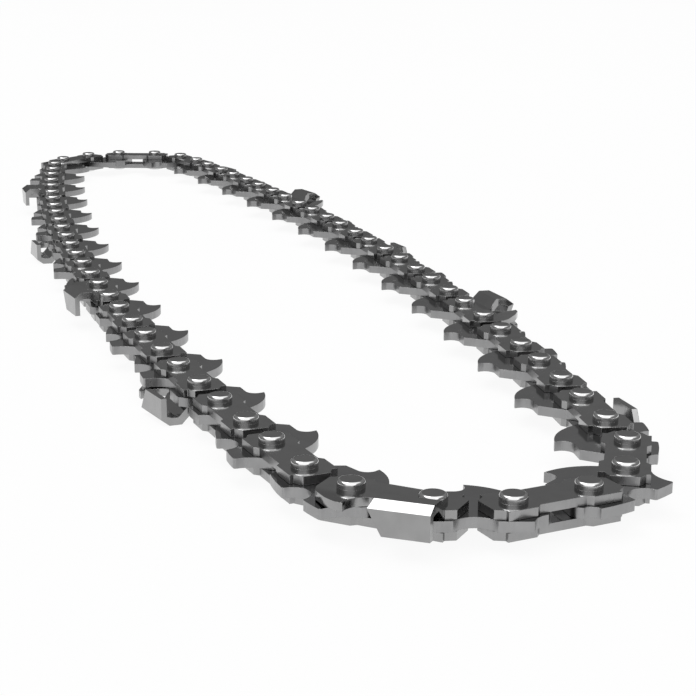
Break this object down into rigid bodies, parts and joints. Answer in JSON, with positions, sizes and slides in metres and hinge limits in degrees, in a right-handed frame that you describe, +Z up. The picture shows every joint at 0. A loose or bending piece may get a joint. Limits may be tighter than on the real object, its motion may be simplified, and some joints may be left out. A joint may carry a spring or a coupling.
{
  "type": "chainsaw chain loop",
  "caption": "Closed loop of saw chain: hooked drive links between riveted tie straps, with cutters spaced along it, lying flat in a long oval.",
  "frame": {"origin": "middle of the loop's box, on the surface that the chain lies on", "axes": "+Y along the loop's long axis, +X across it, +Z up along the rivets"},
  "size_m": [0.0716, 0.2929, 0.0063],
  "materials": {
    "drive_steel": "polished",
    "strap_steel": "polished",
    "cutter_steel": "polished"
  },
  "bodies": {
    "far_turn": {"cutter_left_29": "cutter_steel", "drive_links_far_turn": "drive_steel", "tie_straps_far_turn": "strap_steel", "cutter_left_32": "cutter_steel", "tie_straps_33": "strap_steel"},
    "drive_link_33": {"drive_link_33": "drive_steel"},
    "tie_straps_01": {"tie_straps_01": "strap_steel"},
    "drive_link_01": {"drive_link_01": "drive_steel"},
    "cutter_right_02": {"cutter_right_02": "cutter_steel"},
    "drive_link_02": {"drive_link_02": "drive_steel"},
    "tie_straps_03": {"tie_straps_03": "strap_steel"},
    "drive_link_03": {"drive_link_03": "drive_steel"},
    "tie_straps_04": {"tie_straps_04": "strap_steel"},
    "drive_link_04": {"drive_link_04": "drive_steel"},
    "cutter_left_05": {"cutter_left_05": "cutter_steel"},
    "drive_link_05": {"drive_link_05": "drive_steel"},
    "tie_straps_06": {"tie_straps_06": "strap_steel"},
    "drive_link_06": {"drive_link_06": "drive_steel"},
    "tie_straps_07": {"tie_straps_07": "strap_steel"},
    "drive_link_07": {"drive_link_07": "drive_steel"},
    "cutter_right_08": {"cutter_right_08": "cutter_steel"},
    "drive_link_08": {"drive_link_08": "drive_steel"},
    "tie_straps_09": {"tie_straps_09": "strap_steel"},
    "drive_link_09": {"drive_link_09": "drive_steel"},
    "tie_straps_10": {"tie_straps_10": "strap_steel"},
    "drive_link_10": {"drive_link_10": "drive_steel"},
    "cutter_left_11": {"cutter_left_11": "cutter_steel"},
    "drive_link_11": {"drive_link_11": "drive_steel"},
    "tie_straps_12": {"tie_straps_12": "strap_steel"},
    "drive_link_12": {"drive_link_12": "drive_steel"},
    "near_turn": {"tie_straps_13": "strap_steel", "drive_links_near_turn": "drive_steel", "cutter_right_14": "cutter_steel", "tie_straps_15": "strap_steel", "tie_straps_16": "strap_steel"},
    "drive_link_16": {"drive_link_16": "drive_steel"},
    "cutter_left_17": {"cutter_left_17": "cutter_steel"},
    "drive_link_17": {"drive_link_17": "drive_steel"},
    "tie_straps_18": {"tie_straps_18": "strap_steel"},
    "drive_link_18": {"drive_link_18": "drive_steel"},
    "tie_straps_19": {"tie_straps_19": "strap_steel"},
    "drive_link_19": {"drive_link_19": "drive_steel"},
    "cutter_right_20": {"cutter_right_20": "cutter_steel"},
    "drive_link_20": {"drive_link_20": "drive_steel"},
    "tie_straps_21": {"tie_straps_21": "strap_steel"},
    "drive_link_21": {"drive_link_21": "drive_steel"},
    "tie_straps_22": {"tie_straps_22": "strap_steel"},
    "drive_link_22": {"drive_link_22": "drive_steel"},
    "cutter_left_23": {"cutter_left_23": "cutter_steel"},
    "drive_link_23": {"drive_link_23": "drive_steel"},
    "tie_straps_24": {"tie_straps_24": "strap_steel"},
    "drive_link_24": {"drive_link_24": "drive_steel"},
    "tie_straps_25": {"tie_straps_25": "strap_steel"},
    "drive_link_25": {"drive_link_25": "drive_steel"},
    "cutter_right_26": {"cutter_right_26": "cutter_steel"},
    "drive_link_26": {"drive_link_26": "drive_steel"},
    "tie_straps_27": {"tie_straps_27": "strap_steel"},
    "drive_link_27": {"drive_link_27": "drive_steel"},
    "tie_straps_28": {"tie_straps_28": "strap_steel"},
    "drive_link_28": {"drive_link_28": "drive_steel"}
  },
  "joints": [
    {"name": "pivot_66", "type": "hinge", "parent": "far_turn", "child": "drive_link_33", "pos_m": [-0.01952, 0.11621, 0.00329], "axis": [0, 0, 1], "range_deg": [-12, 12]},
    {"name": "pivot_01", "type": "hinge", "parent": "drive_link_33", "child": "tie_straps_01", "pos_m": [-0.02088, 0.10758, 0.00329], "axis": [0, 0, 1], "range_deg": [-12, 12]},
    {"name": "pivot_02", "type": "hinge", "parent": "tie_straps_01", "child": "drive_link_01", "pos_m": [-0.02222, 0.09777, 0.00329], "axis": [0, 0, 1], "range_deg": [-12, 12]},
    {"name": "pivot_03", "type": "hinge", "parent": "drive_link_01", "child": "cutter_right_02", "pos_m": [-0.0233, 0.0891, 0.00329], "axis": [0, 0, 1], "range_deg": [-12, 12]},
    {"name": "pivot_04", "type": "hinge", "parent": "cutter_right_02", "child": "drive_link_02", "pos_m": [-0.02441, 0.07926, 0.00329], "axis": [0, 0, 1], "range_deg": [-12, 12]},
    {"name": "pivot_05", "type": "hinge", "parent": "drive_link_02", "child": "tie_straps_03", "pos_m": [-0.02529, 0.07056, 0.00329], "axis": [0, 0, 1], "range_deg": [-12, 12]},
    {"name": "pivot_06", "type": "hinge", "parent": "tie_straps_03", "child": "drive_link_03", "pos_m": [-0.02618, 0.0607, 0.00329], "axis": [0, 0, 1], "range_deg": [-12, 12]},
    {"name": "pivot_07", "type": "hinge", "parent": "drive_link_03", "child": "tie_straps_04", "pos_m": [-0.02687, 0.05199, 0.00329], "axis": [0, 0, 1], "range_deg": [-12, 12]},
    {"name": "pivot_08", "type": "hinge", "parent": "tie_straps_04", "child": "drive_link_04", "pos_m": [-0.02754, 0.04211, 0.00329], "axis": [0, 0, 1], "range_deg": [-12, 12]},
    {"name": "pivot_09", "type": "hinge", "parent": "drive_link_04", "child": "cutter_left_05", "pos_m": [-0.02803, 0.03339, 0.00329], "axis": [0, 0, 1], "range_deg": [-12, 12]},
    {"name": "pivot_10", "type": "hinge", "parent": "cutter_left_05", "child": "drive_link_05", "pos_m": [-0.02848, 0.0235, 0.00329], "axis": [0, 0, 1], "range_deg": [-12, 12]},
    {"name": "pivot_11", "type": "hinge", "parent": "drive_link_05", "child": "tie_straps_06", "pos_m": [-0.02877, 0.01476, 0.00329], "axis": [0, 0, 1], "range_deg": [-12, 12]},
    {"name": "pivot_12", "type": "hinge", "parent": "tie_straps_06", "child": "drive_link_06", "pos_m": [-0.02899, 0.00487, 0.00329], "axis": [0, 0, 1], "range_deg": [-12, 12]},
    {"name": "pivot_13", "type": "hinge", "parent": "drive_link_06", "child": "tie_straps_07", "pos_m": [-0.02909, -0.00387, 0.00329], "axis": [0, 0, 1], "range_deg": [-12, 12]},
    {"name": "pivot_14", "type": "hinge", "parent": "tie_straps_07", "child": "drive_link_07", "pos_m": [-0.02909, -0.01377, 0.00329], "axis": [0, 0, 1], "range_deg": [-12, 12]},
    {"name": "pivot_15", "type": "hinge", "parent": "drive_link_07", "child": "cutter_right_08", "pos_m": [-0.02899, -0.02251, 0.00329], "axis": [0, 0, 1], "range_deg": [-12, 12]},
    {"name": "pivot_16", "type": "hinge", "parent": "cutter_right_08", "child": "drive_link_08", "pos_m": [-0.02877, -0.03241, 0.00329], "axis": [0, 0, 1], "range_deg": [-12, 12]},
    {"name": "pivot_17", "type": "hinge", "parent": "drive_link_08", "child": "tie_straps_09", "pos_m": [-0.02848, -0.04115, 0.00329], "axis": [0, 0, 1], "range_deg": [-12, 12]},
    {"name": "pivot_18", "type": "hinge", "parent": "tie_straps_09", "child": "drive_link_09", "pos_m": [-0.02803, -0.05104, 0.00329], "axis": [0, 0, 1], "range_deg": [-12, 12]},
    {"name": "pivot_19", "type": "hinge", "parent": "drive_link_09", "child": "tie_straps_10", "pos_m": [-0.02754, -0.05976, 0.00329], "axis": [0, 0, 1], "range_deg": [-12, 12]},
    {"name": "pivot_20", "type": "hinge", "parent": "tie_straps_10", "child": "drive_link_10", "pos_m": [-0.02687, -0.06964, 0.00329], "axis": [0, 0, 1], "range_deg": [-12, 12]},
    {"name": "pivot_21", "type": "hinge", "parent": "drive_link_10", "child": "cutter_left_11", "pos_m": [-0.02618, -0.07835, 0.00329], "axis": [0, 0, 1], "range_deg": [-12, 12]},
    {"name": "pivot_22", "type": "hinge", "parent": "cutter_left_11", "child": "drive_link_11", "pos_m": [-0.02529, -0.08821, 0.00329], "axis": [0, 0, 1], "range_deg": [-12, 12]},
    {"name": "pivot_23", "type": "hinge", "parent": "drive_link_11", "child": "tie_straps_12", "pos_m": [-0.02441, -0.09691, 0.00329], "axis": [0, 0, 1], "range_deg": [-12, 12]},
    {"name": "pivot_24", "type": "hinge", "parent": "tie_straps_12", "child": "drive_link_12", "pos_m": [-0.0233, -0.10675, 0.00329], "axis": [0, 0, 1], "range_deg": [-12, 12]},
    {"name": "pivot_25", "type": "hinge", "parent": "drive_link_12", "child": "near_turn", "pos_m": [-0.02222, -0.11542, 0.00329], "axis": [0, 0, 1], "range_deg": [-12, 12]},
    {"name": "pivot_57", "type": "hinge", "parent": "far_turn", "child": "drive_link_28", "pos_m": [0.022, 0.10424, 0.00329], "axis": [0, 0, 1], "range_deg": [-12, 12]},
    {"name": "pivot_56", "type": "hinge", "parent": "drive_link_28", "child": "tie_straps_28", "pos_m": [0.02308, 0.09557, 0.00329], "axis": [0, 0, 1], "range_deg": [-12, 12]},
    {"name": "pivot_55", "type": "hinge", "parent": "tie_straps_28", "child": "drive_link_27", "pos_m": [0.02419, 0.08573, 0.00329], "axis": [0, 0, 1], "range_deg": [-12, 12]},
    {"name": "pivot_54", "type": "hinge", "parent": "drive_link_27", "child": "tie_straps_27", "pos_m": [0.02508, 0.07704, 0.00329], "axis": [0, 0, 1], "range_deg": [-12, 12]},
    {"name": "pivot_53", "type": "hinge", "parent": "tie_straps_27", "child": "drive_link_26", "pos_m": [0.02597, 0.06718, 0.00329], "axis": [0, 0, 1], "range_deg": [-12, 12]},
    {"name": "pivot_52", "type": "hinge", "parent": "drive_link_26", "child": "cutter_right_26", "pos_m": [0.02666, 0.05846, 0.00329], "axis": [0, 0, 1], "range_deg": [-12, 12]},
    {"name": "pivot_51", "type": "hinge", "parent": "cutter_right_26", "child": "drive_link_25", "pos_m": [0.02732, 0.04859, 0.00329], "axis": [0, 0, 1], "range_deg": [-12, 12]},
    {"name": "pivot_50", "type": "hinge", "parent": "drive_link_25", "child": "tie_straps_25", "pos_m": [0.02781, 0.03986, 0.00329], "axis": [0, 0, 1], "range_deg": [-12, 12]},
    {"name": "pivot_49", "type": "hinge", "parent": "tie_straps_25", "child": "drive_link_24", "pos_m": [0.02826, 0.02997, 0.00329], "axis": [0, 0, 1], "range_deg": [-12, 12]},
    {"name": "pivot_48", "type": "hinge", "parent": "drive_link_24", "child": "tie_straps_24", "pos_m": [0.02856, 0.02123, 0.00329], "axis": [0, 0, 1], "range_deg": [-12, 12]},
    {"name": "pivot_47", "type": "hinge", "parent": "tie_straps_24", "child": "drive_link_23", "pos_m": [0.02878, 0.01134, 0.00329], "axis": [0, 0, 1], "range_deg": [-12, 12]},
    {"name": "pivot_46", "type": "hinge", "parent": "drive_link_23", "child": "cutter_left_23", "pos_m": [0.02888, 0.0026, 0.00329], "axis": [0, 0, 1], "range_deg": [-12, 12]},
    {"name": "pivot_45", "type": "hinge", "parent": "cutter_left_23", "child": "drive_link_22", "pos_m": [0.02888, -0.0073, 0.00329], "axis": [0, 0, 1], "range_deg": [-12, 12]},
    {"name": "pivot_44", "type": "hinge", "parent": "drive_link_22", "child": "tie_straps_22", "pos_m": [0.02878, -0.01604, 0.00329], "axis": [0, 0, 1], "range_deg": [-12, 12]},
    {"name": "pivot_43", "type": "hinge", "parent": "tie_straps_22", "child": "drive_link_21", "pos_m": [0.02856, -0.02594, 0.00329], "axis": [0, 0, 1], "range_deg": [-12, 12]},
    {"name": "pivot_42", "type": "hinge", "parent": "drive_link_21", "child": "tie_straps_21", "pos_m": [0.02826, -0.03467, 0.00329], "axis": [0, 0, 1], "range_deg": [-12, 12]},
    {"name": "pivot_41", "type": "hinge", "parent": "tie_straps_21", "child": "drive_link_20", "pos_m": [0.02781, -0.04456, 0.00329], "axis": [0, 0, 1], "range_deg": [-12, 12]},
    {"name": "pivot_40", "type": "hinge", "parent": "drive_link_20", "child": "cutter_right_20", "pos_m": [0.02732, -0.05329, 0.00329], "axis": [0, 0, 1], "range_deg": [-12, 12]},
    {"name": "pivot_39", "type": "hinge", "parent": "cutter_right_20", "child": "drive_link_19", "pos_m": [0.02666, -0.06317, 0.00329], "axis": [0, 0, 1], "range_deg": [-12, 12]},
    {"name": "pivot_38", "type": "hinge", "parent": "drive_link_19", "child": "tie_straps_19", "pos_m": [0.02597, -0.07188, 0.00329], "axis": [0, 0, 1], "range_deg": [-12, 12]},
    {"name": "pivot_37", "type": "hinge", "parent": "tie_straps_19", "child": "drive_link_18", "pos_m": [0.02508, -0.08174, 0.00329], "axis": [0, 0, 1], "range_deg": [-12, 12]},
    {"name": "pivot_36", "type": "hinge", "parent": "drive_link_18", "child": "tie_straps_18", "pos_m": [0.02419, -0.09044, 0.00329], "axis": [0, 0, 1], "range_deg": [-12, 12]},
    {"name": "pivot_35", "type": "hinge", "parent": "tie_straps_18", "child": "drive_link_17", "pos_m": [0.02308, -0.10027, 0.00329], "axis": [0, 0, 1], "range_deg": [-12, 12]},
    {"name": "pivot_34", "type": "hinge", "parent": "drive_link_17", "child": "cutter_left_17", "pos_m": [0.022, -0.10895, 0.00329], "axis": [0, 0, 1], "range_deg": [-12, 12]},
    {"name": "pivot_33", "type": "hinge", "parent": "cutter_left_17", "child": "drive_link_16", "pos_m": [0.02067, -0.11876, 0.00329], "axis": [0, 0, 1], "range_deg": [-12, 12]}
  ],
  "couplings": [
    {"joint": "pivot_01", "follows": "pivot_66", "ratio": -1},
    {"joint": "pivot_03", "follows": "pivot_02", "ratio": -1},
    {"joint": "pivot_05", "follows": "pivot_04", "ratio": -1},
    {"joint": "pivot_07", "follows": "pivot_06", "ratio": -1},
    {"joint": "pivot_09", "follows": "pivot_08", "ratio": -1},
    {"joint": "pivot_11", "follows": "pivot_10", "ratio": -1},
    {"joint": "pivot_13", "follows": "pivot_12", "ratio": -1},
    {"joint": "pivot_15", "follows": "pivot_14", "ratio": -1},
    {"joint": "pivot_17", "follows": "pivot_16", "ratio": -1},
    {"joint": "pivot_19", "follows": "pivot_18", "ratio": -1},
    {"joint": "pivot_21", "follows": "pivot_20", "ratio": -1},
    {"joint": "pivot_23", "follows": "pivot_22", "ratio": -1},
    {"joint": "pivot_25", "follows": "pivot_24", "ratio": -1},
    {"joint": "pivot_57", "follows": "pivot_24", "ratio": 1},
    {"joint": "pivot_56", "follows": "pivot_24", "ratio": -1},
    {"joint": "pivot_55", "follows": "pivot_22", "ratio": 1},
    {"joint": "pivot_54", "follows": "pivot_22", "ratio": -1},
    {"joint": "pivot_53", "follows": "pivot_20", "ratio": 1},
    {"joint": "pivot_52", "follows": "pivot_20", "ratio": -1},
    {"joint": "pivot_51", "follows": "pivot_18", "ratio": 1},
    {"joint": "pivot_50", "follows": "pivot_18", "ratio": -1},
    {"joint": "pivot_49", "follows": "pivot_16", "ratio": 1},
    {"joint": "pivot_48", "follows": "pivot_16", "ratio": -1},
    {"joint": "pivot_47", "follows": "pivot_14", "ratio": 1},
    {"joint": "pivot_46", "follows": "pivot_14", "ratio": -1},
    {"joint": "pivot_45", "follows": "pivot_12", "ratio": 1},
    {"joint": "pivot_44", "follows": "pivot_12", "ratio": -1},
    {"joint": "pivot_43", "follows": "pivot_10", "ratio": 1},
    {"joint": "pivot_42", "follows": "pivot_10", "ratio": -1},
    {"joint": "pivot_41", "follows": "pivot_08", "ratio": 1},
    {"joint": "pivot_40", "follows": "pivot_08", "ratio": -1},
    {"joint": "pivot_39", "follows": "pivot_06", "ratio": 1},
    {"joint": "pivot_38", "follows": "pivot_06", "ratio": -1},
    {"joint": "pivot_37", "follows": "pivot_04", "ratio": 1},
    {"joint": "pivot_36", "follows": "pivot_04", "ratio": -1},
    {"joint": "pivot_35", "follows": "pivot_02", "ratio": 1},
    {"joint": "pivot_34", "follows": "pivot_02", "ratio": -1},
    {"joint": "pivot_33", "follows": "pivot_66", "ratio": 1}
  ]
}
